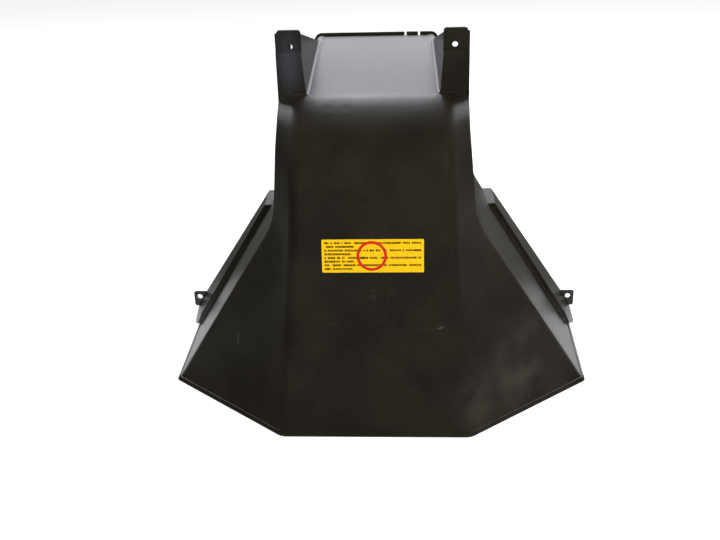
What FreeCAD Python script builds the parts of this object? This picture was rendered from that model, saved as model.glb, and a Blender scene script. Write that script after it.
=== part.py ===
"""Rear discharge deflector of a ride-on mower, moulded in one piece, with its sticker.

Frame, in millimetres: +X to the right, +Y towards the mower, +Z up. The rim stands on Z = 0 and the
origin is under the middle of the part's box. The open back lies in the mounting plane.

Sizes are half widths from the middle plane, depths in front of the mounting plane and heights above
the rim. The hood is a loft through level sections, and its hollow is the same loft moved inward.
"""
import FreeCAD, Part
import math
import os

WALL = 3.0

# Front panel: a flat face that leans back from the rim, with a soft fold down each side
RIM_DEPTH = 363.5
FRONT_LEAN = 0.2015
RIM_FRONT_HALF = 146.0
NECK_FRONT_HALF = 114.0
FRONT_FOLD_RUN = 520.0
FRONT_FOLD_RADIUS = 24.0

# Bend from the front panel to the top panel, which rises to the back
BEND_RADIUS = 150.0
TOP_BACK_HEIGHT = 538.0
TOP_SLOPE = 0.308

# Horns: hollow uprights at the two sides of the top panel; heights are from the panel at their front
HORN_DEPTH = 170.0
HORN_RISE = 64.4
HORN_WIDTH = 38.2
HORN_SET_IN = 0.4
HORN_INNER_DRAFT = 0.076
HORN_INNER_TAPER = 0.0735
HORN_ROOF_SLOPE = 0.31
HORN_FOOT_DROP = 59.0

# Lug at the head of each horn
LUG_RECESS = 3.5
LUG_WALL = 4.0
LUG_HEIGHT = 32.3
LUG_ROOF_DROP = 4.5
LUG_INNER_LAP = 0.5
LUG_OUTER_STEP = 2.8
LUG_CORNER_RADIUS = 5.0
LUG_HOLE_INSET = 17.0
LUG_HOLE_RISE = 7.5
LUG_HOLE_RADIUS = 4.25

# Side walls: upright at the shoulder, a near straight neck, then a flared skirt
SHOULDER_HALF = 143.7
SHOULDER_DROP = 39.1
SHOULDER_BLEND = 15.0
NECK_SLOPE = 0.085
FLARE_HEIGHT = 302.0
FLARE_BLEND = 24.0
SKIRT_SLOPE = 0.617
SIDE_DRAFT = 0.002

# Fold between the side walls and the slanted corner panels, which curls back over the shoulder
FOLD_LEAD = 55.0
FOLD_RAKE = 0.08
SIDE_FOLD_RADIUS = 9.0
CURL_DROP = 79.1
CURL_RADIUS = 65.0
CURL_ANGLE = 60.0

# Thickened bead along the rim
BEAD_HEIGHT = 8.5
BEAD_PROUD = 1.6

# Lip round the back edge of the top panel, with a snap tongue right of the middle
LIP_PROUD = 2.2
LIP_HALF = 101.0
LIP_CORNER_RADIUS = 13.0
LIP_WALL = 3.0
TONGUE_CENTRE = 58.6
TONGUE_WIDTH = 18.7
TONGUE_GAP = 3.2
TONGUE_REACH = 6.0
TONGUE_DROP = 10.0
TONGUE_ROOT = 4.0

# Shallow recess in the back of the top panel
RECESS_RUN = 104.0
RECESS_DROP = 0.8
RECESS_MARGIN = 7.5
RECESS_CORNER_RADIUS = 8.0

# Joggled flanges along the back of the skirt; reaches are from the side wall, drops from the flare
FLANGE_DEPTH = 38.0
FLANGE_STEP = 12.0
FLANGE_TOP_DROP = 35.5
FLANGE_TOP_FALL = 13.5
FLANGE_REACH = 15.9
FLANGE_SPREAD = 0.039
FLANGE_KINK_HEIGHT = 42.0
FLANGE_FOOT_REACH = 10.7
FLANGE_FOOT_RISE = 19.0
FLANGE_FOOT_STEP = 8.0

# Lugs at the back of the flanges
SIDE_LUG_WALL = 3.5
SIDE_LUG_TOP = 67.0
SIDE_LUG_HEIGHT = 29.5
SIDE_LUG_REACH = 23.9
SIDE_LUG_CORNER = 4.0
SIDE_HOLE_INSET = 10.7
SIDE_HOLE_DROP = 10.7
SIDE_HOLE_RADIUS = 4.8

# Sticker on the front panel, below the foot of the bend
LABEL_WIDTH = 150.0
LABEL_HEIGHT = 50.0
LABEL_THICKNESS = 0.3
LABEL_CORNER_RADIUS = 1.5
LABEL_DROP = 85.0

# How far joined bodies reach into each other: plates and sheets, flanges into the walls, top panel
PLATE_SEAT = 1.5
FLANGE_SEAT = 15.0
CROWN_SEAT = 40.0

# Distance that cutting bodies run past the part
OVERRUN = 20.0

# Distance between level sections on the skirt and on the curves, which begin below the flare
SKIRT_STEP = 60.0
CURVE_STEP = 14.0
CURVE_LEAD = 42.0

LEAN_FACTOR = math.hypot(1.0, FRONT_LEAN)
TOP_FACTOR = math.hypot(1.0, TOP_SLOPE)
ROOF_FACTOR = math.hypot(1.0, HORN_ROOF_SLOPE)
ORIGIN_DEPTH = (RIM_DEPTH + BEAD_PROUD * LEAN_FACTOR) / 2.0

# Centre of the bend: as far inside the front line as inside the top line
BEND_DEPTH = (
    RIM_DEPTH - BEND_RADIUS * LEAN_FACTOR - FRONT_LEAN * (TOP_BACK_HEIGHT - BEND_RADIUS * TOP_FACTOR)
) / (1.0 - FRONT_LEAN * TOP_SLOPE)
BEND_HEIGHT = TOP_BACK_HEIGHT - BEND_RADIUS * TOP_FACTOR - TOP_SLOPE * BEND_DEPTH
BEND_FOOT_HEIGHT = BEND_HEIGHT + BEND_RADIUS * FRONT_LEAN / LEAN_FACTOR

# The loft stops just behind the horns' front, where the top panel takes over
CROWN_DEPTH = HORN_DEPTH - 2.0 * WALL

# What stands at the horns' front takes its height from the top panel there
BASE_HEIGHT = TOP_BACK_HEIGHT - TOP_SLOPE * HORN_DEPTH
HORN_FRONT_HEIGHT = BASE_HEIGHT + HORN_RISE
HORN_FOOT_HEIGHT = BASE_HEIGHT - HORN_FOOT_DROP
SHOULDER_HEIGHT = BASE_HEIGHT - SHOULDER_DROP
CURL_HEIGHT = BASE_HEIGHT - CURL_DROP
LUG_TOP_HEIGHT = HORN_FRONT_HEIGHT + LUG_HEIGHT
LUG_INNER_HALF = SHOULDER_HALF - HORN_WIDTH - LUG_INNER_LAP

# Depth of the fold beside the neck, and top of the flanges
FOLD_DEPTH = HORN_DEPTH + FOLD_LEAD
FLANGE_TOP_HEIGHT = FLARE_HEIGHT - FLANGE_TOP_DROP


def point(half, depth, height):
    """A point from its half width, depth and height."""
    return FreeCAD.Vector(half, ORIGIN_DEPTH - depth, height)


def fall(height, start, blend):
    """Distance below start, eased in over the blend on both sides of it."""
    if height >= start + blend:
        return 0.0
    if height <= start - blend:
        return start - height
    return (start + blend - height) ** 2 / (4.0 * blend)


def side_half(height):
    """Half width of the side wall at the depth of the fold."""
    neck = NECK_SLOPE * fall(height, SHOULDER_HEIGHT, SHOULDER_BLEND)
    skirt = (SKIRT_SLOPE - NECK_SLOPE) * fall(height, FLARE_HEIGHT, FLARE_BLEND)
    return SHOULDER_HALF + neck + skirt


def side_at(depth, height):
    """Half width of the side wall, which opens towards the back by its draft."""
    return side_half(height) + SIDE_DRAFT * (FOLD_DEPTH - depth)


def fold_depth(height):
    """Depth of the fold: raked on the skirt, level on the neck, curled back at the shoulder."""
    depth = FOLD_DEPTH - FOLD_RAKE * fall(height, FLARE_HEIGHT, FLARE_BLEND)
    rise = height - CURL_HEIGHT
    if rise <= 0.0:
        return depth
    turn = math.radians(CURL_ANGLE)
    arc_rise = CURL_RADIUS * math.sin(turn)
    if rise <= arc_rise:
        return depth - CURL_RADIUS + math.sqrt(CURL_RADIUS**2 - rise**2)
    return depth - CURL_RADIUS * (1.0 - math.cos(turn)) - (rise - arc_rise) * math.tan(turn)


def front_half(height):
    """Half width of the front panel, easing from the rim to the neck."""
    left = max(0.0, 1.0 - height / FRONT_FOLD_RUN)
    return NECK_FRONT_HALF + (RIM_FRONT_HALF - NECK_FRONT_HALF) * left**2


def top_height(depth, inset=0.0):
    """Height of the top panel, moved inward by inset."""
    return TOP_BACK_HEIGHT - TOP_SLOPE * depth - inset * TOP_FACTOR


def roof_height(depth, inset=0.0):
    """Height of the horns' roof, moved inward by inset."""
    drop = HORN_ROOF_SLOPE * (HORN_DEPTH - LUG_RECESS - depth)
    return LUG_TOP_HEIGHT - LUG_ROOF_DROP - drop - inset * ROOF_FACTOR


def front_depth(height, inset=0.0):
    """Depth of the front panel, the bend and the top panel at one height."""
    radius = BEND_RADIUS - inset
    if height <= BEND_HEIGHT + radius * FRONT_LEAN / LEAN_FACTOR:
        return RIM_DEPTH - FRONT_LEAN * height - inset * LEAN_FACTOR
    if height >= BEND_HEIGHT + radius / TOP_FACTOR:
        return (TOP_BACK_HEIGHT - inset * TOP_FACTOR - height) / TOP_SLOPE
    return BEND_DEPTH + math.sqrt(radius**2 - (height - BEND_HEIGHT) ** 2)


def panel_line(height):
    """Ends of the corner panel in plan, and the unit normal that points out of the hood."""
    start = (front_half(height), front_depth(height))
    end = (side_at(fold_depth(height), height), fold_depth(height))
    run = math.dist(start, end)
    normal = ((start[1] - end[1]) / run, (end[0] - start[0]) / run)
    return start, end, normal


def panel_slant(height):
    """Level distance through the corner panel for each unit of its thickness."""
    start, end, normal = panel_line(height)
    lower_start, lower_end, _ = panel_line(height - 1.0)
    middle = [(a + b) / 2.0 for a, b in zip(start, end)]
    lower_middle = [(a + b) / 2.0 for a, b in zip(lower_start, lower_end)]
    shift = sum((low - high) * n for low, high, n in zip(lower_middle, middle, normal))
    return math.hypot(1.0, shift)


def back_depth(inset):
    """Depth at which a body ends at the back: hollows run past the mounting plane."""
    return -OVERRUN if inset > 0.0 else 0.0


def half_corners(height, inset):
    """Front fold, side fold and back end of the right half of a section, moved inward by inset."""
    start, end, normal = panel_line(height)
    shift = inset * panel_slant(height)
    foot = (start[0] - normal[0] * shift, start[1] - normal[1] * shift)
    slope = (end[0] - start[0]) / (end[1] - start[1])
    side_shift = inset * math.hypot(1.0, side_half(height - 1.0) - side_half(height))
    front = front_depth(height, inset)
    front_fold = (foot[0] + (front - foot[1]) * slope, front)
    wall = side_at(foot[1], height) - side_shift
    fold = foot[1] + (wall - foot[0]) / (slope + SIDE_DRAFT)
    side_fold = (foot[0] + (fold - foot[1]) * slope, fold)
    end_depth = back_depth(inset)
    back = (side_at(end_depth, height) - side_shift, end_depth)
    return front_fold, side_fold, back


def rounded_wire(corners, radii):
    """Closed wire through corners, each rounded to its radius where that is not zero."""
    ends = []
    arcs = []
    for index, (corner, radius) in enumerate(zip(corners, radii)):
        before = (corners[index - 1] - corner).normalize()
        after = (corners[(index + 1) % len(corners)] - corner).normalize()
        if radius == 0.0:
            ends.append((corner, corner))
            arcs.append(None)
            continue
        half_angle = before.getAngle(after) / 2.0
        reach = radius / math.tan(half_angle)
        towards = (before + after).normalize()
        middle = corner + towards * (radius / math.sin(half_angle) - radius)
        first = corner + before * reach
        last = corner + after * reach
        ends.append((first, last))
        arcs.append(Part.Arc(first, middle, last).toShape())
    edges = []
    for index, (_, last) in enumerate(ends):
        if arcs[index]:
            edges.append(arcs[index])
        edges.append(Part.makeLine(last, ends[(index + 1) % len(ends)][0]))
    return Part.Wire(edges)


def section(height, inset):
    """Level section of the hood at one height."""
    right = half_corners(height, inset)
    corners = [point(half, depth, height) for half, depth in right]
    corners += [point(-half, depth, height) for half, depth in reversed(right)]
    front_radius = FRONT_FOLD_RADIUS - inset
    side_radius = SIDE_FOLD_RADIUS - inset
    return rounded_wire(corners, [front_radius, side_radius, 0.0, 0.0, side_radius, front_radius])


def span(bottom, top, step, inset):
    """Loft through evenly spaced sections between two heights."""
    count = math.ceil((top - bottom) / step)
    heights = [bottom + (top - bottom) * i / count for i in range(count + 1)]
    return Part.makeLoft([section(height, inset) for height in heights], True)


def hood_body(bottom, top, inset):
    """The hood up to the foot of the top panel: the skirt, and all that curves above it."""
    split = FLARE_HEIGHT - FLARE_BLEND - CURVE_LEAD
    return span(bottom, split, SKIRT_STEP, inset).fuse(span(split, top, CURVE_STEP, inset))


def crown_body(front, inset):
    """The top panel as a solid body with rounded sides, from one depth to the back."""
    half = LIP_HALF - LIP_PROUD - inset
    radius = LIP_CORNER_RADIUS - LIP_PROUD - inset
    top = top_height(front, inset)
    foot = top - CROWN_SEAT
    corners = [(-half, foot), (half, foot), (half, top), (-half, top)]
    wire = rounded_wire([point(x, front, z) for x, z in corners], [0.0, 0.0, radius, radius])
    run = front - back_depth(inset)
    return Part.Face(wire).extrude(FreeCAD.Vector(0.0, run, TOP_SLOPE * run))


def slab(profile, inner, outer):
    """Solid between two side faces over one profile of depths and heights."""
    wires = []
    for side in (inner, outer):
        corners = [point(side(depth, height), depth, height) for depth, height in profile]
        wires.append(Part.makePolygon(corners + corners[:1]))
    return Part.makeLoft(wires, True, True)


def mirrored(shape):
    """List of a shape on the right and its mirror image on the left."""
    return [shape, shape.mirror(FreeCAD.Vector(0, 0, 0), FreeCAD.Vector(1, 0, 0))]


def horn_inner(depth, height):
    """Half width of the horn's inner face."""
    taper = HORN_INNER_TAPER * (HORN_DEPTH - depth)
    return SHOULDER_HALF - HORN_WIDTH - taper - HORN_INNER_DRAFT * (HORN_FRONT_HEIGHT - height)


def horn_outer(depth, height):
    """Half width of the horn's outer face, a little in from the side wall of the shoulder."""
    return SHOULDER_HALF - HORN_SET_IN + SIDE_DRAFT * (FOLD_DEPTH - depth)


def under(roof, front, inset):
    """Side view of the space below a sloping roof, from a front depth to the back."""
    back = back_depth(inset)
    return [
        (front, HORN_FOOT_HEIGHT),
        (front, roof(front, inset)),
        (back, roof(back, inset)),
        (back, HORN_FOOT_HEIGHT),
    ]


def between_horns(front, inset, reach):
    """Body between the horns, below both the top panel and their roofs, reaching into them."""
    sides = (
        lambda depth, height: -horn_inner(depth, height) - reach,
        lambda depth, height: horn_inner(depth, height) + reach,
    )
    below_panel, below_roofs = (slab(under(roof, front, inset), *sides) for roof in (top_height, roof_height))
    return below_panel.common(below_roofs)


def horn_profile(front, ledge, head, inset):
    """Side view of a horn: front, ledge below the lug, sloping roof and open foot."""
    back = back_depth(inset)
    return [
        (front, HORN_FOOT_HEIGHT),
        (front, ledge),
        (head, ledge),
        (head, roof_height(head, inset)),
        (back, roof_height(back, inset)),
        (back, HORN_FOOT_HEIGHT),
    ]


def horn_body():
    """Outside of the right horn."""
    profile = horn_profile(HORN_DEPTH, HORN_FRONT_HEIGHT, HORN_DEPTH - LUG_RECESS, 0.0)
    return slab(profile, horn_inner, horn_outer)


def horn_hollow():
    """Inside of the right horn."""
    head = HORN_DEPTH - LUG_RECESS - LUG_WALL
    profile = horn_profile(HORN_DEPTH - WALL, HORN_FRONT_HEIGHT - WALL, head, WALL)
    return slab(
        profile,
        lambda depth, height: horn_inner(depth, height) + WALL,
        lambda depth, height: horn_outer(depth, height) - WALL,
    )


def lug_plate():
    """Upright plate at the head of the right horn, with rounded top corners."""
    face = HORN_DEPTH - LUG_RECESS
    foot = HORN_FRONT_HEIGHT - WALL
    outer = SHOULDER_HALF - LUG_OUTER_STEP
    corners = [
        point(LUG_INNER_HALF, face, foot),
        point(outer, face, foot),
        point(outer, face, LUG_TOP_HEIGHT),
        point(LUG_INNER_HALF, face, LUG_TOP_HEIGHT),
    ]
    wire = rounded_wire(corners, [0.0, 0.0, LUG_CORNER_RADIUS, LUG_CORNER_RADIUS])
    return Part.Face(wire).extrude(FreeCAD.Vector(0.0, LUG_WALL, 0.0))


def lip_body():
    """Upright lip round the back edge of the top panel."""
    top = TOP_BACK_HEIGHT + LIP_PROUD
    foot = top - CROWN_SEAT
    corners = [(-LIP_HALF, foot), (LIP_HALF, foot), (LIP_HALF, top), (-LIP_HALF, top)]
    radii = [0.0, 0.0, LIP_CORNER_RADIUS, LIP_CORNER_RADIUS]
    wire = rounded_wire([point(x, LIP_WALL, z) for x, z in corners], radii)
    return Part.Face(wire).extrude(FreeCAD.Vector(0.0, LIP_WALL, 0.0))


def recess_half(depth):
    """Half width of the recess in the top panel, which keeps a margin beside the horns."""
    return horn_inner(depth, top_height(depth)) - RECESS_MARGIN


def panel_recess():
    """Shallow cut into the back of the top panel, parallel to it, with rounded front corners."""
    foot = top_height(RECESS_RUN) - OVERRUN
    corners = [
        point(recess_half(RECESS_RUN), RECESS_RUN, foot),
        point(-recess_half(RECESS_RUN), RECESS_RUN, foot),
        point(-recess_half(LIP_WALL), LIP_WALL, foot),
        point(recess_half(LIP_WALL), LIP_WALL, foot),
    ]
    wire = rounded_wire(corners, [RECESS_CORNER_RADIUS, RECESS_CORNER_RADIUS, 0.0, 0.0])
    prism = Part.Face(wire).extrude(FreeCAD.Vector(0.0, 0.0, TOP_BACK_HEIGHT + OVERRUN - foot))
    floor = [(RECESS_RUN + OVERRUN, 0.0), (0.0, 0.0), (0.0, OVERRUN), (RECESS_RUN + OVERRUN, OVERRUN)]
    profile = [(depth, top_height(depth) - RECESS_DROP + rise) for depth, rise in floor]
    reach = 2.0 * LIP_HALF
    return prism.common(slab(profile, lambda depth, height: -reach, lambda depth, height: reach))


def tongue_slot():
    """Window in the lip and the top panel round the snap tongue."""
    width = TONGUE_WIDTH + 2.0 * TONGUE_GAP
    corner = point(TONGUE_CENTRE - width / 2.0, TONGUE_REACH, TOP_BACK_HEIGHT - TONGUE_DROP)
    return Part.makeBox(width, TONGUE_REACH + OVERRUN, TONGUE_DROP + OVERRUN, corner)


def tongue():
    """Snap tongue: it hangs from the panel's edge, runs back and rises to the height of the lip."""
    low = TOP_BACK_HEIGHT - TONGUE_DROP
    shelf = low + WALL
    root = TONGUE_REACH + TONGUE_ROOT
    panel = top_height(root, WALL / 2.0)
    profile = [
        (0.0, TOP_BACK_HEIGHT + LIP_PROUD),
        (LIP_WALL, TOP_BACK_HEIGHT + LIP_PROUD),
        (LIP_WALL, shelf),
        (TONGUE_REACH, shelf),
        (TONGUE_REACH, top_height(TONGUE_REACH, WALL / 2.0)),
        (root, panel),
        (root, low),
        (0.0, low),
    ]
    left = TONGUE_CENTRE - TONGUE_WIDTH / 2.0
    return slab(profile, lambda depth, height: left, lambda depth, height: left + TONGUE_WIDTH)


def flange_half(depth, height):
    """Half width of the return strip, between its front line and its back line."""
    front = side_at(FLANGE_DEPTH, height) + FLANGE_STEP
    back = side_half(height) + FLANGE_REACH + FLANGE_SPREAD * (FLANGE_TOP_HEIGHT - height)
    return front + (back - front) * (1.0 - depth / FLANGE_DEPTH)


def flange_edge(height):
    """Half width of the back edge of the return strip, which is steeper below its kink."""
    if height >= FLANGE_KINK_HEIGHT:
        return flange_half(0.0, height)
    kink_half = flange_half(0.0, FLANGE_KINK_HEIGHT)
    foot_half = side_half(0.0) + FLANGE_FOOT_REACH
    return foot_half + (kink_half - foot_half) * height / FLANGE_KINK_HEIGHT


def flange_foot(depth):
    """Half width and height of the foot of the return strip, which runs down to the back."""
    share = depth / FLANGE_DEPTH
    front = side_at(FLANGE_DEPTH, FLANGE_FOOT_RISE) + FLANGE_FOOT_STEP
    back = flange_edge(0.0)
    return back + (front - back) * share, FLANGE_FOOT_RISE * share


def flange_section(depth, inset):
    """Upright section of the right flange at one depth, moved inward by inset."""
    shift = inset * math.hypot(1.0, SKIRT_SLOPE)
    top = FLANGE_TOP_HEIGHT - FLANGE_TOP_FALL * depth / FLANGE_DEPTH - inset
    kink = FLANGE_KINK_HEIGHT
    foot_half, foot = flange_foot(depth)
    foot += inset
    corners = [
        (side_at(depth, top) - FLANGE_SEAT, top),
        (flange_half(depth, top) - shift, top),
        (flange_half(depth, kink) - shift, kink),
        (foot_half - shift, foot),
        (side_at(depth, foot) - FLANGE_SEAT, foot),
    ]
    points = [point(half, depth, height) for half, height in corners]
    return Part.makePolygon(points + points[:1])


def flange_body(inset):
    """Right flange block, from its step to the mounting plane or past it."""
    depths = (FLANGE_DEPTH - inset, back_depth(inset))
    return Part.makeLoft([flange_section(depth, inset) for depth in depths], True, True)


def side_lug_half():
    """Half width to the outer edge of the lug beside the flange."""
    return flange_edge(SIDE_LUG_TOP) + SIDE_LUG_REACH


def side_lug():
    """Plate at the back edge of the right flange, which follows that edge and widens to the top."""
    outer = side_lug_half()
    bottom = SIDE_LUG_TOP - SIDE_LUG_HEIGHT
    corners = [
        (flange_edge(SIDE_LUG_TOP) - PLATE_SEAT, SIDE_LUG_TOP),
        (outer, SIDE_LUG_TOP),
        (outer, bottom),
        (flange_edge(bottom) - PLATE_SEAT, bottom),
    ]
    radii = [0.0, SIDE_LUG_CORNER, SIDE_LUG_CORNER, 0.0]
    wire = rounded_wire([point(x, SIDE_LUG_WALL, z) for x, z in corners], radii)
    return Part.Face(wire).extrude(FreeCAD.Vector(0.0, SIDE_LUG_WALL, 0.0))


def bore(half, depth, height, radius):
    """Round cutter along Y through a plate near one depth."""
    start = point(half, depth + OVERRUN / 2.0, height)
    return Part.makeCylinder(radius, OVERRUN, start, FreeCAD.Vector(0.0, 1.0, 0.0))


def rim_bead():
    """Band that thickens the rim outward."""
    return Part.makeLoft([section(0.0, -BEAD_PROUD), section(BEAD_HEIGHT, -BEAD_PROUD)], True, True)


def deflector_shell(hood):
    """The whole moulding: outside bodies joined, hollows taken out, holes cut."""
    bodies = [rim_bead(), lip_body(), crown_body(CROWN_DEPTH, 0.0)]
    bodies.append(between_horns(CROWN_DEPTH, 0.0, PLATE_SEAT))
    bodies += mirrored(horn_body()) + mirrored(flange_body(0.0))
    shell = hood.fuse(bodies)
    hollows = [
        hood_body(-OVERRUN, top_height(CROWN_DEPTH, WALL), WALL),
        crown_body(CROWN_DEPTH - WALL, WALL),
        between_horns(CROWN_DEPTH - WALL, WALL, 2.0 * WALL),
    ]
    hollows += mirrored(horn_hollow()) + mirrored(flange_body(WALL))
    for hollow in hollows + [tongue_slot(), panel_recess()]:
        shell = shell.cut(hollow)
    shell = shell.fuse([tongue()] + mirrored(lug_plate()) + mirrored(side_lug()))
    lug_hole = LUG_INNER_HALF + LUG_HOLE_INSET
    holes = mirrored(bore(lug_hole, HORN_DEPTH, HORN_FRONT_HEIGHT + LUG_HOLE_RISE, LUG_HOLE_RADIUS))
    side_hole = side_lug_half() - SIDE_HOLE_INSET
    holes += mirrored(bore(side_hole, 0.0, SIDE_LUG_TOP - SIDE_HOLE_DROP, SIDE_HOLE_RADIUS))
    for hole in holes:
        shell = shell.cut(hole)
    return shell


def label(hood):
    """Thin sticker that lies on the front panel and takes its back face from it."""
    along = FreeCAD.Vector(0.0, FRONT_LEAN, 1.0).normalize()
    out = FreeCAD.Vector(0.0, -1.0, FRONT_LEAN).normalize()
    height = BEND_FOOT_HEIGHT - LABEL_DROP
    centre = point(0.0, front_depth(height), height) + out * LABEL_THICKNESS
    across = FreeCAD.Vector(LABEL_WIDTH / 2.0, 0.0, 0.0)
    up = along * (LABEL_HEIGHT / 2.0)
    corners = [centre - across - up, centre + across - up, centre + across + up, centre - across + up]
    face = Part.Face(rounded_wire(corners, [LABEL_CORNER_RADIUS] * 4))
    return face.extrude(out * (-LABEL_THICKNESS - PLATE_SEAT)).cut(hood)


def save(shape, name):
    """Write one sub-part, and print its solids and volume."""
    shape = shape.removeSplitter()
    solid = shape.Solids[0] if len(shape.Solids) == 1 else shape
    solid.exportStep(f"parts/{name}.step")
    print(name, "solids", len(shape.Solids), "valid", shape.isValid(), "volume", round(shape.Volume))


os.makedirs("parts", exist_ok=True)
hood = hood_body(0.0, top_height(CROWN_DEPTH), 0.0)
save(deflector_shell(hood), "deflector_shell")
save(label(hood), "label")
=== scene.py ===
# %% [markdown]
# # Mower discharge deflector
#
# This lesson dresses a moulded black hood that stands on its rim. It is one big thin shell of plastic
# with a small sticker on its front panel. The solids come from the CAD model, so the work here is the
# surface: the edge radii, the moulded grain, the dust and the scuffs, and the print on the sticker.

# %% Load the solids as a fixed frame
import math

import bmesh
import bpy
from mathutils import Matrix, Vector


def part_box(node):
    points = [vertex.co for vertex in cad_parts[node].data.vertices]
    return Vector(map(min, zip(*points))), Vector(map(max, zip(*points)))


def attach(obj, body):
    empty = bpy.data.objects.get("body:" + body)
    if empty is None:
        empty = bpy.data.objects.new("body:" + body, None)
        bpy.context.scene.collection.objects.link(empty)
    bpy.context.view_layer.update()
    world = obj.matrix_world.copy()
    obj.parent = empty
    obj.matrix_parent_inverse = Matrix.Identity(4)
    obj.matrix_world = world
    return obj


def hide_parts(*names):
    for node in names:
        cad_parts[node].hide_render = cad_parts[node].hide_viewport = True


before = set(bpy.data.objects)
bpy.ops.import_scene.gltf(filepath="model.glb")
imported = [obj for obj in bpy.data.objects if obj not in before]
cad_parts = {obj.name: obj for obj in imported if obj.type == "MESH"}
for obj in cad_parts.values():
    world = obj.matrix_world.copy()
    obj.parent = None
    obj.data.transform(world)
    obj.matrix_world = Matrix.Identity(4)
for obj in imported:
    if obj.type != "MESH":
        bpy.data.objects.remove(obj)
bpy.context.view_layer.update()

MM = 0.001

# %% [markdown]
# ## Colours and a helper for nodes
#
# Colours are picked as sRGB hex values, as in a paint program, but Blender computes in linear light.
# One function turns a hex value to linear. A second small function adds a node, sets its values and
# links its inputs, so that each material reads as a short list.


# %% Colour and node helpers
def linear(code, alpha=1.0):
    """Linear RGBA of an sRGB hex colour such as 'A0B1C2'."""
    channels = [int(code[i : i + 2], 16) / 255.0 for i in (0, 2, 4)]
    low = [c / 12.92 if c <= 0.04045 else ((c + 0.055) / 1.055) ** 2.4 for c in channels]
    return (*low, alpha)


def add(tree, kind, values=None, links=None, **settings):
    """Add a node to a tree, with its settings, its input values and its links."""
    node = tree.nodes.new(kind)
    for name, value in settings.items():
        setattr(node, name, value)
    for name, value in (values or {}).items():
        node.inputs[name].default_value = value
    for name, socket in (links or {}).items():
        tree.links.new(socket, node.inputs[name])
    return node


def new_material(name):
    """An empty material with an output and a Principled shader already linked."""
    material = bpy.data.materials.new(name)
    material.use_nodes = True
    tree = material.node_tree
    tree.nodes.clear()
    shader = add(tree, "ShaderNodeBsdfPrincipled")
    add(tree, "ShaderNodeOutputMaterial", links={"Surface": shader.outputs["BSDF"]})
    return material, tree, shader


# %% [markdown]
# ## The camera
#
# The photograph was taken from a little above and just right of the middle, with a normal lens. The
# camera stands where that picture was taken from, so every edge falls where it does there. Yaw, pitch
# and roll are turned one after the other, which is easier to read than a quaternion.

# %% Make the camera
CAMERA_PLACE = Vector((65.1, -1448.8, 909.1)) * MM
CAMERA_YAW = math.radians(3.65)
CAMERA_PITCH = math.radians(26.1)
CAMERA_ROLL = math.radians(1.85)
LENS = 50.0

camera = bpy.data.objects.new("camera", bpy.data.cameras.new("camera"))
camera.data.lens = LENS
camera.data.sensor_width = 36.0
camera.matrix_world = (
    Matrix.Translation(CAMERA_PLACE)
    @ Matrix.Rotation(CAMERA_YAW, 4, "Z")
    @ Matrix.Rotation(math.pi / 2 - CAMERA_PITCH, 4, "X")
    @ Matrix.Rotation(-CAMERA_ROLL, 4, "Z")
)
bpy.context.scene.collection.objects.link(camera)
bpy.context.scene.camera = camera
print("camera height in mm:", round(camera.location.z / MM))

# %% [markdown]
# ## The studio
#
# Black plastic shows mostly what it mirrors, so its look is made by placing bright and dark things
# around it. A wide soft lamp stands above and behind the hood, and turns the top panel pale grey. The
# rest of the room is kept out of the reflections by black cards, as studios do for dark glossy
# things, so the front panel stays nearly black. The key and fill lamps light the colours alone.

# %% Paper floor and white room
FLOOR_HALF = 8.0
FLOOR_GREY = "A8A8A8"
PAPER_GLOW = 0.8
ROOM_LIGHT = 0.2


def backdrop_rays(tree):
    """Value that is 1 for rays that come from the camera, a reflection or a clear material."""
    path = add(tree, "ShaderNodeLightPath").outputs
    seen = add(
        tree,
        "ShaderNodeMath",
        links={0: path["Is Camera Ray"], 1: path["Is Glossy Ray"]},
        operation="MAXIMUM",
    )
    return add(
        tree,
        "ShaderNodeMath",
        links={0: seen.outputs[0], 1: path["Is Transmission Ray"]},
        operation="MAXIMUM",
    ).outputs[0]


def white_paper():
    """Matt seamless paper with a glow of its own where it is seen, so it stays white past the lamps."""
    # Its pulp has no gloss, so the eye sees one even white with only the hood's soft shadow on it.
    material, tree, shader = new_material("white_studio_paper")
    shader.inputs["Base Color"].default_value = linear(FLOOR_GREY)
    shader.inputs["Roughness"].default_value = 0.9
    shader.inputs["Specular IOR Level"].default_value = 0.0
    shader.inputs["Emission Color"].default_value = linear("FFFFFF")
    glow = add(tree, "ShaderNodeMath", {1: PAPER_GLOW}, {0: backdrop_rays(tree)}, operation="MULTIPLY")
    tree.links.new(glow.outputs[0], shader.inputs["Emission Strength"])
    return material


def stage_mesh(name, points, faces, material):
    """A sheet of the studio, which isn't part of the hood."""
    mesh = bpy.data.meshes.new(name)
    mesh.from_pydata(points, [], faces)
    mesh.materials.append(material)
    sheet = bpy.data.objects.new(name, mesh)
    bpy.context.scene.collection.objects.link(sheet)
    return sheet


half = FLOOR_HALF
stage_mesh(
    "floor",
    [(-half, -half, 0.0), (half, -half, 0.0), (half, half, 0.0), (-half, half, 0.0)],
    [(0, 1, 2, 3)],
    white_paper(),
)

world = bpy.data.worlds.new("white_room")
world.use_nodes = True
sky = world.node_tree
sky.nodes.clear()
dim = add(sky, "ShaderNodeBackground", {"Color": linear("FFFFFF"), "Strength": ROOM_LIGHT})
white = add(sky, "ShaderNodeBackground", {"Color": linear("FFFFFF"), "Strength": 1.0})
room = add(
    sky, "ShaderNodeMixShader", links={0: backdrop_rays(sky), 1: dim.outputs[0], 2: white.outputs[0]}
)
add(sky, "ShaderNodeOutputWorld", links={"Surface": room.outputs[0]})
bpy.context.scene.world = world
bpy.context.scene.view_settings.view_transform = "Standard"
print("floor in metres:", 2 * FLOOR_HALF)

# %% [markdown]
# ### Black cards
#
# The cards form a dome that is open at the back, and a sheet over the floor in front. Only mirror rays
# see them: they cast no shadow, take no light from the hood and stay out of the picture.

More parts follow.
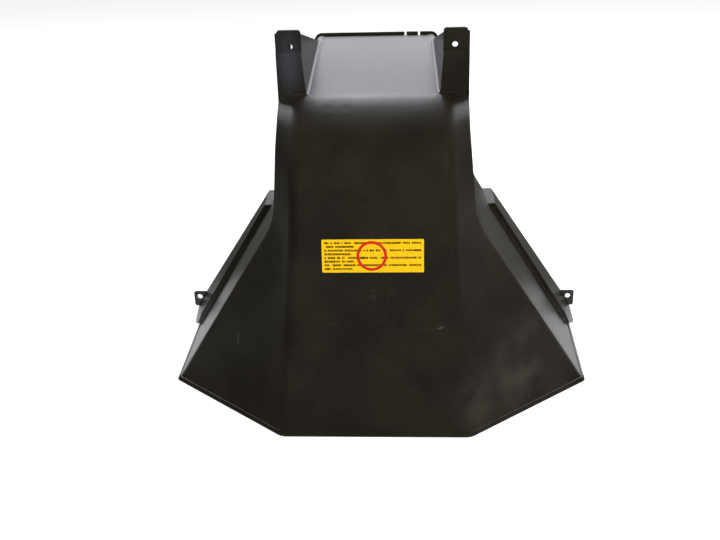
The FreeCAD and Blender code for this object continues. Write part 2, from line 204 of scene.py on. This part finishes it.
# %% Black cards that only reflections see
DOME_RADIUS = 3.4
DOME_STEPS = 36
DOME_OPEN_FROM = 0.56
ROOM_LEFT, ROOM_RIGHT = 0.07, 0.46
ROOM_UP = 0.25
FLOOR_CARD_SHARE = 0.45
CARD_COLOUR = "C9C2B4"
LEFT_END = -0.8 * DOME_RADIUS
MAT_SIDE = 0.62
MAT_BACK = 0.5
CARD_LIFT = 2.0 * MM


def dark_card(name, share):
    """Black studio card that shows a dim warm room, darker to the left and towards the ceiling."""
    # It gives the black plastic something dark to mirror, so the front of the hood looks deep.
    material, tree, shader = new_material(name)
    shader.inputs["Base Color"].default_value = linear("000000")
    shader.inputs["Specular IOR Level"].default_value = 0.0
    shader.inputs["Emission Color"].default_value = linear(CARD_COLOUR)
    place = add(tree, "ShaderNodeTexCoord").outputs["Object"]
    axes = add(tree, "ShaderNodeSeparateXYZ", links={0: place}).outputs
    across = {"From Min": LEFT_END, "From Max": 0.0, "To Min": ROOM_LEFT, "To Max": ROOM_RIGHT}
    upward = {"From Min": 0.0, "From Max": DOME_RADIUS, "To Min": share, "To Max": share * ROOM_UP}
    side_light = add(tree, "ShaderNodeMapRange", across, {"Value": axes["X"]})
    height_light = add(tree, "ShaderNodeMapRange", upward, {"Value": axes["Z"]})
    light = add(
        tree,
        "ShaderNodeMath",
        links={0: side_light.outputs[0], 1: height_light.outputs[0]},
        operation="MULTIPLY",
    )
    tree.links.new(light.outputs[0], shader.inputs["Emission Strength"])
    return material


def reflection_only(sheet):
    """Hide a sheet from every ray but the mirror rays."""
    sheet.visible_camera = False
    sheet.visible_diffuse = False
    sheet.visible_transmission = False
    sheet.visible_shadow = False


def open_dome(radius, steps, open_from):
    """Points and faces of a sphere without the part that faces the back of the studio."""
    work = bmesh.new()
    bmesh.ops.create_uvsphere(work, u_segments=2 * steps, v_segments=steps, radius=radius)
    away = [face for face in work.faces if face.calc_center_median().normalized().y > open_from]
    bmesh.ops.delete(work, geom=away, context="FACES")
    work.verts.index_update()
    points = [tuple(vert.co) for vert in work.verts]
    faces = [[vert.index for vert in face.verts] for face in work.faces]
    work.free()
    return points, faces


dome = open_dome(DOME_RADIUS, DOME_STEPS, DOME_OPEN_FROM)
reflection_only(stage_mesh("card_dome", *dome, dark_card("dim_room_card", 1.0)))
card_corners = [(-half, -half), (half, -half), (half, half), (-half, half)]
card_corners += [(-MAT_SIDE, 0.0), (MAT_SIDE, 0.0), (MAT_SIDE, MAT_BACK), (-MAT_SIDE, MAT_BACK)]
floor_points = [(x, y, CARD_LIFT) for x, y in card_corners]
floor_faces = [(side, (side + 1) % 4, 4 + (side + 1) % 4, 4 + side) for side in range(4)]
floor_dark = dark_card("floor_card", FLOOR_CARD_SHARE)
reflection_only(stage_mesh("floor_card", floor_points, floor_faces, floor_dark))
print("dome faces:", len(dome[1]))

# %% [markdown]
# ### Lamps
#
# Three soft lamps. The top lamp is the one that the plastic mirrors. The key and the fill light the
# front as a pair of polarised lamps would, without a highlight of their own.

# %% Soft lamps
TOP_LAMP = {"place": (0.0, 1.7, 1.91), "target": (0.0, 0.02, 0.5), "size": (4.4, 1.02), "power": 104.0}
KEY_LAMP = {"place": (0.9, -2.3, 2.3), "target": (0.0, -0.1, 0.25), "size": (1.4, 1.4), "power": 96.0}
FILL_LAMP = {"place": (-2.2, -0.9, 1.8), "target": (0.0, -0.1, 0.25), "size": (1.2, 1.2), "power": 12.0}


def soft_lamp(name, place, target, size, power, colour="FFFFFF", mirrored=True):
    """A rectangular soft lamp that points from its place to its target."""
    data = bpy.data.lights.new(name, "AREA")
    data.shape = "RECTANGLE"
    data.size, data.size_y = size
    data.energy = power
    data.color = linear(colour)[:3]
    lamp = bpy.data.objects.new(name, data)
    lamp.location = place
    lamp.rotation_euler = (Vector(target) - Vector(place)).to_track_quat("-Z", "Y").to_euler()
    lamp.visible_glossy = mirrored
    bpy.context.scene.collection.objects.link(lamp)
    return lamp


soft_lamp("top_lamp", **TOP_LAMP, colour="F4F5FF")
soft_lamp("key_lamp", **KEY_LAMP, mirrored=False)
soft_lamp("fill_lamp", **FILL_LAMP, mirrored=False)

# %% [markdown]
# ## Black moulded polypropylene
#
# The hood is injection-moulded polypropylene, coloured through with carbon black. The mould was
# spark-eroded, which leaves a fine even grain, so the surface is satin and not glossy. A long panel is
# never quite flat, and a very slow ripple bends its reflections. Pale dust lies in the lower right,
# and a few light scuffs mark where the part was handled. A pale bluish painted highlight lies on the
# left shoulder and on the top of the left horn. All patterns read Object coordinates, because the
# object's origin is the part's own, and each scale is worked out from a size in millimetres.

# %% Plastic: colours and the sizes of its patterns
PLASTIC_DARK = "1A1711"
PLASTIC_PALE = "221F18"
# Bluish grey of the painted highlight on the left shoulder and the top of the left horn.
PAINTED_HIGHLIGHT_COLOUR = "6E7488"
DUST_COLOUR = "8A857C"
SCUFF_COLOUR = "9A968F"
PAINTED_HIGHLIGHT_SHARE = 0.22
GRIT_SHARE = 0.1
DUST_SHARE = 0.16
SCUFF_SHARE = 0.42
DUST_DULLS = 0.8
ROUGH_LOW, ROUGH_HIGH = 0.35, 0.42
# The real grain is about 0.1 mm, which is too fine to show from here, so it is drawn this coarse.
GRAIN_MM = 0.9
GRIT_MM = 1.6
SPECK_MM = 3.0
STREAK_MM = 22.0
MOTTLE_MM = 70.0
RIPPLE_MM = 160.0

# Each place is a centre and a reach along X, Y and Z, in millimetres.
DUSTY_PATCHES = (
    ((230.0, -70.0, 60.0), (150.0, 120.0, 110.0)),
    ((150.0, -140.0, 50.0), (60.0, 60.0, 90.0)),
)
# Painted highlight: the left shoulder and the top of the left horn are painted paler and bluish.
PAINTED_HIGHLIGHT_PATCHES = (
    ((-124.0, 10.0, 540.0), (30.0, 14.0, 75.0)),
    ((-140.0, 20.0, 400.0), (34.0, 60.0, 110.0)),
)
SCUFFS = (
    ((-220.0, -60.0, 110.0), (12.0, 40.0, 42.0)),
    ((-195.0, -110.0, 25.0), (26.0, 30.0, 12.0)),
    ((-85.0, -170.0, 40.0), (10.0, 20.0, 12.0)),
    ((12.0, -120.0, 225.0), (24.0, 30.0, 20.0)),
    ((118.0, -135.0, 150.0), (26.0, 30.0, 8.0)),
    ((95.0, -140.0, 175.0), (16.0, 30.0, 6.0)),
)
print("dusty, hazy and scuffed places:", len(DUSTY_PATCHES), len(PAINTED_HIGHLIGHT_PATCHES), len(SCUFFS))

# %% Soft spots on the plastic
EASED = "SMOOTHSTEP"


def scale_of(size_mm):
    """Scale of a noise whose bumps are about size_mm wide."""
    return 1.0 / (size_mm * MM)


def span(low, high, out_low=0.0, out_high=1.0):
    """Input values that rescale low..high to out_low..out_high."""
    return {"From Min": low, "From Max": high, "To Min": out_low, "To Max": out_high}


def spots(tree, coordinates, places):
    """Value that is 1 at the centre of each place and eases to 0 at its reach."""
    share = None
    for centre, reach in places:
        scale = [scale_of(size) for size in reach]
        offset = [-place * MM * size for place, size in zip(centre, scale)]
        local = add(
            tree, "ShaderNodeMapping", {"Location": offset, "Scale": scale}, {"Vector": coordinates}
        )
        away = add(tree, "ShaderNodeVectorMath", links={0: local.outputs[0]}, operation="LENGTH")
        spot = add(
            tree,
            "ShaderNodeMapRange",
            span(1.0, 0.0),
            {"Value": away.outputs["Value"]},
            interpolation_type=EASED,
        ).outputs[0]
        if share is not None:
            both = {0: share, 1: spot}
            spot = add(tree, "ShaderNodeMath", links=both, operation="MAXIMUM").outputs[0]
        share = spot
    return share


# %% The plastic
def moulded_polypropylene():
    """Injection-moulded polypropylene with carbon black in it, some dust, light scuffs and a painted
    highlight.
    """
    # The grain of the mould scatters the highlight, so the black looks satin and its edges are soft.
    material, tree, shader = new_material("black_moulded_polypropylene")
    place = add(tree, "ShaderNodeTexCoord").outputs["Object"]
    at = {"Vector": place}
    mottle = add(tree, "ShaderNodeTexNoise", {"Scale": scale_of(MOTTLE_MM), "Detail": 4.0}, at)
    specks = add(
        tree, "ShaderNodeTexNoise", {"Scale": scale_of(SPECK_MM), "Detail": 3.0, "Roughness": 0.7}, at
    )
    streaked = {"Scale": scale_of(STREAK_MM), "Detail": 5.0, "Roughness": 0.65, "Distortion": 1.6}
    streaks = add(tree, "ShaderNodeTexNoise", streaked, at)
    grit = add(tree, "ShaderNodeTexNoise", {"Scale": scale_of(GRIT_MM), "Detail": 1.0}, at)
    grain = add(tree, "ShaderNodeTexNoise", {"Scale": scale_of(GRAIN_MM), "Detail": 2.0}, at)
    ripple = add(tree, "ShaderNodeTexNoise", {"Scale": scale_of(RIPPLE_MM), "Detail": 1.0}, at)

    # Each noise becomes a value that says how much there is of something at a point.
    masks = {}
    for name, source, values in (
        ("tone", mottle, span(0.3, 0.7)),
        ("film", mottle, span(0.35, 0.7, 0.25, 1.0)),
        ("scratch", streaks, span(0.57, 0.68)),
        ("grain_of_dust", grit, span(0.66, 0.74)),
        ("satin", specks, span(0.25, 0.75, ROUGH_LOW, ROUGH_HIGH)),
    ):
        fac = {"Value": source.outputs["Fac"]}
        masks[name] = add(tree, "ShaderNodeMapRange", values, fac, interpolation_type=EASED).outputs[0]

    dusty = {0: spots(tree, place, DUSTY_PATCHES), 1: masks["film"]}
    dusty = add(tree, "ShaderNodeMath", links=dusty, operation="MULTIPLY").outputs[0]
    marked = {0: spots(tree, place, SCUFFS), 1: masks["scratch"]}
    marked = add(tree, "ShaderNodeMath", links=marked, operation="MULTIPLY").outputs[0]
    # Where the bluish painted highlight lies.
    painted_highlight = spots(tree, place, PAINTED_HIGHLIGHT_PATCHES)
    shares = []
    for source, most in (
        (painted_highlight, PAINTED_HIGHLIGHT_SHARE),
        (masks["grain_of_dust"], GRIT_SHARE),
        (dusty, DUST_SHARE),
        (marked, SCUFF_SHARE),
    ):
        part = add(tree, "ShaderNodeMath", {1: most}, {0: source}, operation="MULTIPLY")
        shares.append(part.outputs[0])

    # In an RGBA Mix node, input 0 is the share, 6 and 7 are the colours, and output 2 is the result.
    two_blacks = {6: linear(PLASTIC_DARK), 7: linear(PLASTIC_PALE)}
    colour = add(tree, "ShaderNodeMix", two_blacks, {0: masks["tone"]}, data_type="RGBA").outputs[2]
    # The painted highlight goes over the two blacks first, then the grit, the dust and the scuffs.
    for share, code in zip(shares, (PAINTED_HIGHLIGHT_COLOUR, DUST_COLOUR, DUST_COLOUR, SCUFF_COLOUR)):
        over = {0: share, 6: colour}
        colour = add(tree, "ShaderNodeMix", {7: linear(code)}, over, data_type="RGBA").outputs[2]
    tree.links.new(colour, shader.inputs["Base Color"])
    shader.inputs["IOR"].default_value = 1.49

    dulled = {0: shares[2], 2: masks["satin"]}
    rough = add(tree, "ShaderNodeMath", {1: DUST_DULLS}, dulled, operation="MULTIPLY_ADD")
    tree.links.new(rough.outputs[0], shader.inputs["Roughness"])

    slow = add(
        tree,
        "ShaderNodeBump",
        {"Strength": 0.35, "Distance": 1.2 * MM},
        {"Height": ripple.outputs["Fac"]},
    )
    fine = add(
        tree,
        "ShaderNodeBump",
        {"Strength": 0.18, "Distance": 0.06 * MM},
        {"Height": grain.outputs["Fac"], "Normal": slow.outputs[0]},
    )
    tree.links.new(fine.outputs[0], shader.inputs["Normal"])
    return material


plastic = moulded_polypropylene()
print("plastic nodes:", len(plastic.node_tree.nodes))

# %% [markdown]
# ## The hood
#
# A moulding has no truly sharp edge. The tool's corners round each one by about a millimetre, and the
# inner corners get larger fillets so that the melt flows round them. Those thin rounds catch the light
# along the horns, the side lugs and the rim. The CAD mesh is left alone. A copy of it is welded, and a Bevel
# modifier rounds its outer edges, each to its own radius, which is kept as a weight on the edge. A wide
# bevel would tear at the ends of the inner corners, so those get a strip of their own in the same mesh.
# The shallow step in the top panel and the thin lugs on the horns are too small for it and stay sharp.

# %% Which edges are round, and how much
PANEL_BACK_HEIGHT = 538.0
PANEL_SLOPE = 0.308
BACK_PLANE = 182.566
PANEL_NEAR = 1.5
PANEL_STEP = 4.0
PANEL_STEP_FROM = -1.0
PANEL_FROM = 4.0
WALL_LEAST = 6.0
LUG_FOOT = 552.0
HORN_FRONT = 170.0
HORN_FOOT_TOP = 486.0
HORN_FOOT_SIDES = (100.0, 133.0)
FLANGE_STEP_DEPTH = 38.0
FLANGE_SIDE = 150.0
FLANGE_TOP = 280.0
DEPTH_NEAR = 0.6
EDGE_ROUND = 0.8
FINE_ROUND = 0.25
RIM_ROUND = 2.2
RIM_NEAR = 0.3
ROUND_STEPS = 3
SHARP_ANGLE = math.radians(28.0)
HOLES = ((122.0, 557.5, 6.0), (337.9, 56.3, 7.0))
FILLETS = {
    "beside_panel": {"radius": 5.5, "first": Vector((0.0, 0.0, 1.0))},
    "horn_foot": {"radius": 5.0, "first": Vector((0.0, -1.0, 0.0))},
    "groove": {"radius": 5.0, "first": Vector((0.0, -1.0, 0.0))},
}


def place_of(edge):
    """Distance from the middle plane, depth in front of the back plane and height of an edge, in mm."""
    middle = (edge.verts[0].co + edge.verts[1].co) / (2.0 * MM)
    return abs(middle.x), BACK_PLANE - middle.y, middle.z


def above_panel(depth, height):
    """Height above the sloping top panel, in mm."""
    return height - (PANEL_BACK_HEIGHT - PANEL_SLOPE * depth)


def edge_round(edge):
    """Radius in millimetres to which one sharp edge of the hood is rounded, or 0 to keep it."""
    side, depth, height = place_of(edge)
    in_step = -PANEL_STEP < above_panel(depth, height) < PANEL_NEAR
    if (in_step and PANEL_STEP_FROM < depth < HORN_FRONT) or height > LUG_FOOT:
        return 0.0
    if any(math.hypot(side - x, height - z) < reach for x, z, reach in HOLES):
        return FINE_ROUND
    outward = edge.link_faces[0].normal + edge.link_faces[1].normal
    low_rim = height < RIM_NEAR and edge.calc_face_angle_signed(0.0) > 0.0
    if low_rim and outward.dot(edge.verts[0].co * Vector((1.0, 1.0, 0.0))) > 0.0:
        return RIM_ROUND
    return EDGE_ROUND


def fillet_of(edge):
    """Name of the fillet that an inner corner gets, or None."""
    if edge.calc_face_angle_signed(0.0) > 0.0:
        return None
    side, depth, height = place_of(edge)
    corners = [vert.co / MM for face in edge.link_faces for vert in face.verts]
    wall_top = max(above_panel(BACK_PLANE - corner.y, corner.z) for corner in corners)
    on_panel = abs(above_panel(depth, height)) < PANEL_NEAR and PANEL_FROM < depth < HORN_FRONT
    if on_panel and wall_top > WALL_LEAST:
        return "beside_panel"
    on_foot = HORN_FOOT_SIDES[0] < side < HORN_FOOT_SIDES[1] and height < HORN_FOOT_TOP
    if on_foot and abs(depth - HORN_FRONT) < DEPTH_NEAR:
        return "horn_foot"
    if abs(depth - FLANGE_STEP_DEPTH) < DEPTH_NEAR and side > FLANGE_SIDE and height < FLANGE_TOP:
        return "groove"
    return None


# %% Fillet strips for the inner corners
FILLET_STEP = 3.0 * MM
FILLET_FADE = 14.0 * MM
FILLET_END = 0.04
FILLET_ARC_STEPS = 7
FILLET_SEAT = 0.8 * MM


def corner_chains(edges):
    """Edges joined end to end, each chain as its corners in order and the edge between each pair."""
    left = set(edges)
    chains = []
    while left:
        at = {}
        for edge in left:
            for vert in edge.verts:
                at.setdefault(vert, []).append(edge)
        vert = next((v for v in sorted(at, key=lambda v: v.index) if len(at[v]) == 1), next(iter(at)))
        verts, links = [vert], []
        while True:
            onward = [edge for edge in at[vert] if edge in left]
            if not onward:
                break
            left.discard(onward[0])
            vert = onward[0].other_vert(vert)
            verts.append(vert)
            links.append(onward[0])
        chains.append((verts, links))
    return chains


def sampled_corner(verts, links, first):
    """Points along a chain, with the normals of its two sides, closely and evenly spaced."""
    sides = []
    for edge in links:
        ordered = sorted(edge.link_faces, key=lambda face: -face.normal.dot(first))
        sides.append([face.normal.copy() for face in ordered])
    at_vert = []
    for index, vert in enumerate(verts):
        near = sides[max(0, index - 1) : index + 1]
        normals = [sum((pair[k] for pair in near), Vector()).normalized() for k in (0, 1)]
        at_vert.append([vert.co.copy()] + normals)
    samples = []
    for start, end in zip(at_vert, at_vert[1:]):
        count = max(1, round((end[0] - start[0]).length / FILLET_STEP))
        samples += [[a.lerp(b, i / count) for a, b in zip(start, end)] for i in range(count)]
    return samples + [at_vert[-1]]


def add_fillet(work, samples, radius):
    """A closed strip with a hollow round face along a corner, which fades out at its two ends."""
    runs = [0.0]
    for before, after in zip(samples, samples[1:]):
        runs.append(runs[-1] + (after[0] - before[0]).length)
    sections = []
    for run, (corner, first, second) in zip(runs, samples):
        first.normalize()
        second.normalize()
        fade = min(1.0, min(run, runs[-1] - run) / min(FILLET_FADE, runs[-1] / 2.0))
        size = radius * MM * (FILLET_END + (1.0 - FILLET_END) * math.sin(fade * math.pi / 2.0))
        along = [(b - a * a.dot(b)).normalized() for a, b in ((first, second), (second, first))]
        half = along[0].angle(along[1]) / 2.0
        centre = corner + (along[0] + along[1]).normalized() * size / math.sin(half)
        starts = [corner + way * size / math.tan(half) - centre for way in along]
        arc = [
            centre + starts[0].slerp(starts[1], i / FILLET_ARC_STEPS).normalized() * size
            for i in range(FILLET_ARC_STEPS + 1)
        ]
        seat = corner - (first + second).normalized() * FILLET_SEAT
        sections.append([work.verts.new(co) for co in arc + [seat]])
    made = []
    count = len(sections[0])
    for before, after in zip(sections, sections[1:]):
        for i in range(count):
            j = (i + 1) % count
            made.append(work.faces.new((before[i], before[j], after[j], after[i])))
    made.append(work.faces.new(sections[0]))
    made.append(work.faces.new(reversed(sections[-1])))
    bmesh.ops.recalc_face_normals(work, faces=made)
    return len(made)


# %% Weld a copy of the CAD mesh and round its edges
WELD_DISTANCE = 0.004 * MM


def welded_copy(node, name):
    """A new object with the node's mesh, its triangles joined and its corners filled and weighted."""
    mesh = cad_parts[node].data.copy()
    mesh.name = name
    work = bmesh.new()
    work.from_mesh(mesh)
    bmesh.ops.remove_doubles(work, verts=work.verts, dist=WELD_DISTANCE)
    bmesh.ops.dissolve_degenerate(work, edges=work.edges, dist=WELD_DISTANCE)
    work.normal_update()
    work.verts.index_update()
    weight = work.edges.layers.float.new("bevel_weight_edge")
    corners = {fillet: [] for fillet in FILLETS}
    for edge in work.edges:
        sharp = len(edge.link_faces) == 2 and edge.calc_face_angle(0.0) > SHARP_ANGLE
        edge.smooth = not sharp
        if sharp:
            edge[weight] = edge_round(edge) / RIM_ROUND
            fillet = fillet_of(edge)
            if fillet:
                edge[weight] = 0.0
                corners[fillet].append(edge)
    for fillet, edges in corners.items():
        size = FILLETS[fillet]
        chains = [sampled_corner(*chain, size["first"]) for chain in corner_chains(edges)]
        faces = sum(add_fillet(work, samples, size["radius"]) for samples in chains)
        print(fillet, "chains:", len(chains), "faces:", faces)
    for face in work.faces:
        face.smooth = True
    work.to_mesh(mesh)
    work.free()
    mesh.materials.clear()
    copy = bpy.data.objects.new(name, mesh)
    bpy.context.scene.collection.objects.link(copy)
    return copy


hood = welded_copy("deflector_shell", "moulded_hood")
hood.data.materials.append(plastic)
rounding = hood.modifiers.new("edge_radius", "BEVEL")
rounding.width = RIM_ROUND * MM
rounding.segments = ROUND_STEPS
rounding.limit_method = "WEIGHT"
rounding.use_clamp_overlap = False
levelling = hood.modifiers.new("flat_panels", "WEIGHTED_NORMAL")
levelling.keep_sharp = True
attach(hood, "root")
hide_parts("deflector_shell")
print("hood faces:", len(hood.data.polygons))

# %% [markdown]
# ## The sticker
#
# The sticker is yellow vinyl film, 0.3 mm thick, with its own thin gloss. Its CAD solid has the right
# shape and only needs the material. Its print is generic: rows of plain dark bars and a plain red
# ring, in screen ink.

# %% Yellow film
FILM_COLOUR = "FFC800"
FILM_STAIN = "5A4A10"
FILM_STAIN_MOST = 0.12
FILM_ROUGH = 0.35
FILM_MOTTLE_MM = 9.0


def printed_film(name, code, roughness):
    """Calendered vinyl film, or the ink that is screen-printed on it, with a faint mottle."""
    # It is smoother than the moulded grain, so it has a tighter shine and a clean, strong colour.
    material, tree, shader = new_material(name)
    place = add(tree, "ShaderNodeTexCoord").outputs["Object"]
    scale = {"Scale": scale_of(FILM_MOTTLE_MM), "Detail": 3.0}
    mottle = add(tree, "ShaderNodeTexNoise", scale, {"Vector": place}).outputs["Fac"]
    share = add(
        tree,
        "ShaderNodeMapRange",
        span(0.35, 0.75, 0.0, FILM_STAIN_MOST),
        {"Value": mottle},
        interpolation_type=EASED,
    )
    colours = {6: linear(code), 7: linear(FILM_STAIN)}
    tone = add(tree, "ShaderNodeMix", colours, {0: share.outputs[0]}, data_type="RGBA")
    tree.links.new(tone.outputs[2], shader.inputs["Base Color"])
    shader.inputs["Roughness"].default_value = roughness
    wrinkle = add(tree, "ShaderNodeBump", {"Strength": 0.2, "Distance": 0.1 * MM}, {"Height": mottle})
    tree.links.new(wrinkle.outputs[0], shader.inputs["Normal"])
    return material


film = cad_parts["label"]
film.data.materials.clear()
film.data.materials.append(printed_film("yellow_vinyl_film", FILM_COLOUR, FILM_ROUGH))

# %% [markdown]
# ### Rows of bars
#
# The bars repeat with a rule, so Geometry Nodes make them: a grid of points with a bar on each point,
# where every second row is cut short and a fixed seed chooses the gaps. The tree ends in Realize
# Instances and Set Material, because an export drops instances.

# %% Place of the film's face
FILM_THICKNESS = 0.3 * MM
film_low, film_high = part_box("label")
film_size = film_high - film_low
film_lean = math.atan((film_size.y - FILM_THICKNESS) / film_size.z)
film_face = (
    Matrix.Translation((film_low + film_high) / 2)
    @ Matrix.Rotation(math.pi / 2 - film_lean, 4, "X")
    @ Matrix.Translation((0.0, 0.0, FILM_THICKNESS / 2))
)
print("the film leans back by", round(math.degrees(film_lean), 1), "degrees")

# %% A Geometry Nodes tree for the rows
PRINT_WIDTH = 140.0 * MM
PRINT_HEIGHT = 39.0 * MM
PRINT_ROWS = 8
PRINT_COLUMNS = 62
BAR_HEIGHT = 3.3 * MM
INK_THICKNESS = 0.04 * MM
SHORT_LINE = 0.3
BAR_SHARE = 0.98
BLANK_CHANCE = 0.15
PRINT_SEED = 7


def print_rows_tree(ink):
    """Tree that lays rows of bars in the XY plane, with every second row cut short."""
    tree = bpy.data.node_groups.new("print_rows", "GeometryNodeTree")
    names = {
        "Width": "NodeSocketFloat",
        "Height": "NodeSocketFloat",
        "Columns": "NodeSocketInt",
        "Rows": "NodeSocketInt",
        "Bar Height": "NodeSocketFloat",
        "Thickness": "NodeSocketFloat",
        "Short Line": "NodeSocketFloat",
        "Seed": "NodeSocketInt",
    }
    for name, kind in names.items():
        tree.interface.new_socket(name=name, in_out="INPUT", socket_type=kind)
    tree.interface.new_socket(name="Geometry", in_out="OUTPUT", socket_type="NodeSocketGeometry")
    size = add(tree, "NodeGroupInput").outputs

    grid = add(
        tree,
        "GeometryNodeMeshGrid",
        links={
            "Size X": size["Width"],
            "Size Y": size["Height"],
            "Vertices X": size["Columns"],
            "Vertices Y": size["Rows"],
        },
    )
    position = add(tree, "GeometryNodeInputPosition").outputs[0]
    place = add(tree, "ShaderNodeSeparateXYZ", links={0: position})
    across = {0: place.outputs["X"], 1: size["Width"]}
    share = add(tree, "ShaderNodeMath", links=across, operation="DIVIDE")
    along = add(tree, "ShaderNodeMath", {1: 0.5}, {0: share.outputs[0]}, operation="ADD")
    gaps = add(tree, "ShaderNodeMath", {1: 1.0}, {0: size["Rows"]}, operation="SUBTRACT")
    spread = {0: size["Height"], 1: gaps.outputs[0]}
    step = add(tree, "ShaderNodeMath", links=spread, operation="DIVIDE")
    steps = {0: place.outputs["Y"], 1: step.outputs[0]}
    level = add(tree, "ShaderNodeMath", links=steps, operation="DIVIDE")
    shifted = add(tree, "ShaderNodeMath", {1: 0.5}, {0: level.outputs[0]}, operation="ADD")
    row = add(tree, "ShaderNodeMath", links={0: shifted.outputs[0]}, operation="ROUND")
    left_over = add(tree, "ShaderNodeMath", {1: 2.0}, {0: row.outputs[0]}, operation="MODULO")
    odd = add(tree, "ShaderNodeMath", links={0: left_over.outputs[0]}, operation="ABSOLUTE")
    beyond = {0: along.outputs[0], 1: size["Short Line"]}
    late = add(tree, "ShaderNodeMath", links=beyond, operation="GREATER_THAN")
    both = {0: odd.outputs[0], 1: late.outputs[0]}
    cut_short = add(tree, "ShaderNodeMath", links=both, operation="MULTIPLY")
    chance = add(
        tree,
        "FunctionNodeRandomValue",
        {"Probability": BLANK_CHANCE},
        {"Seed": size["Seed"]},
        data_type="BOOLEAN",
    )
    blank = [s for s in chance.outputs if s.type == "BOOLEAN"][0]
    drop = add(tree, "ShaderNodeMath", links={0: cut_short.outputs[0], 1: blank}, operation="MAXIMUM")
    kept = add(
        tree,
        "GeometryNodeDeleteGeometry",
        links={"Geometry": grid.outputs["Mesh"], "Selection": drop.outputs[0]},
        domain="POINT",
    )
    shared = {0: size["Width"], 1: size["Columns"]}
    pitch = add(tree, "ShaderNodeMath", links=shared, operation="DIVIDE")
    width = add(tree, "ShaderNodeMath", {1: BAR_SHARE}, {0: pitch.outputs[0]}, operation="MULTIPLY")
    bar_size = add(
        tree,
        "ShaderNodeCombineXYZ",
        links={"X": width.outputs[0], "Y": size["Bar Height"], "Z": size["Thickness"]},
    )
    bar = add(tree, "GeometryNodeMeshCube", links={"Size": bar_size.outputs[0]})
    stretch = add(
        tree,
        "FunctionNodeRandomValue",
        {"Min": (0.6, 0.82, 1.0), "Max": (0.98, 1.0, 1.0)},
        {"Seed": size["Seed"]},
        data_type="FLOAT_VECTOR",
    )
    bars = add(
        tree,
        "GeometryNodeInstanceOnPoints",
        links={
            "Points": kept.outputs["Geometry"],
            "Instance": bar.outputs["Mesh"],
            "Scale": [s for s in stretch.outputs if s.type == "VECTOR"][0],
        },
    )
    real = add(tree, "GeometryNodeRealizeInstances", links={"Geometry": bars.outputs["Instances"]})
    inked = add(
        tree, "GeometryNodeSetMaterial", {"Material": ink}, {"Geometry": real.outputs["Geometry"]}
    )
    add(tree, "NodeGroupOutput", links={"Geometry": inked.outputs["Geometry"]})
    return tree


# %% Bars as a plain mesh on the film
def baked(source, name):
    """The evaluated geometry of an object as a new object with a plain mesh."""
    bpy.context.view_layer.update()
    graph = bpy.context.evaluated_depsgraph_get()
    mesh = bpy.data.meshes.new_from_object(source.evaluated_get(graph))
    mesh.name = name
    made = bpy.data.objects.new(name, mesh)
    bpy.context.scene.collection.objects.link(made)
    return made


INK_ROUGH = 0.4
dark_ink = printed_film("dark_screen_ink", "1A160C", INK_ROUGH)
red_ink = printed_film("red_screen_ink", "D2200F", INK_ROUGH)
rows_tree = print_rows_tree(dark_ink)
maker = bpy.data.objects.new("rows_maker", bpy.data.meshes.new("rows_maker"))
bpy.context.scene.collection.objects.link(maker)
layout = maker.modifiers.new("print_rows", "NODES")
layout.node_group = rows_tree
rows_inputs = {
    "Width": PRINT_WIDTH,
    "Height": PRINT_HEIGHT,
    "Columns": PRINT_COLUMNS,
    "Rows": PRINT_ROWS,
    "Bar Height": BAR_HEIGHT,
    "Thickness": INK_THICKNESS,
    "Short Line": SHORT_LINE,
    "Seed": PRINT_SEED,
}
for socket in rows_tree.interface.items_tree:
    if socket.in_out == "INPUT":
        layout[socket.identifier] = rows_inputs[socket.name]
print_rows = baked(maker, "print_rows")
bpy.data.objects.remove(maker)
print_rows.data.transform(film_face @ Matrix.Translation((0.0, 0.0, INK_THICKNESS / 2)))
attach(print_rows, "root")
print("bars:", len(print_rows.data.polygons) // 6)

# %% [markdown]
# ### The red ring
#
# A ring is one closed band, so a few lines of plain mesh code make it: two circles of points on two
# levels, joined by four strips. It is printed over the rows, so it lies one layer of ink higher.

# %% Red ring
RING_RADIUS = 22.5 * MM
RING_BAND = 4.2 * MM
RING_SIDE_SHIFT = -1.5 * MM
RING_SEGMENTS = 72


def flat_ring(name, radius, band, thickness, segments):
    """A flat ring with a rectangular section in the XY plane."""
    profile = [(radius, 0.0), (radius, thickness), (radius - band, thickness), (radius - band, 0.0)]
    points = []
    faces = []
    for step in range(segments):
        turn = math.tau * step / segments
        points += [(r * math.cos(turn), r * math.sin(turn), z) for r, z in profile]
        after = (step + 1) % segments
        for side in range(4):
            other = (side + 1) % 4
            faces.append((4 * step + side, 4 * after + side, 4 * after + other, 4 * step + other))
    mesh = bpy.data.meshes.new(name)
    mesh.from_pydata(points, [], faces)
    ring = bpy.data.objects.new(name, mesh)
    bpy.context.scene.collection.objects.link(ring)
    return ring


ring = flat_ring("printed_ring", RING_RADIUS, RING_BAND, INK_THICKNESS, RING_SEGMENTS)
ring.data.materials.append(red_ink)
ring.data.transform(film_face @ Matrix.Translation((RING_SIDE_SHIFT, 0.0, INK_THICKNESS)))
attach(ring, "root")
print("ring faces:", len(ring.data.polygons))
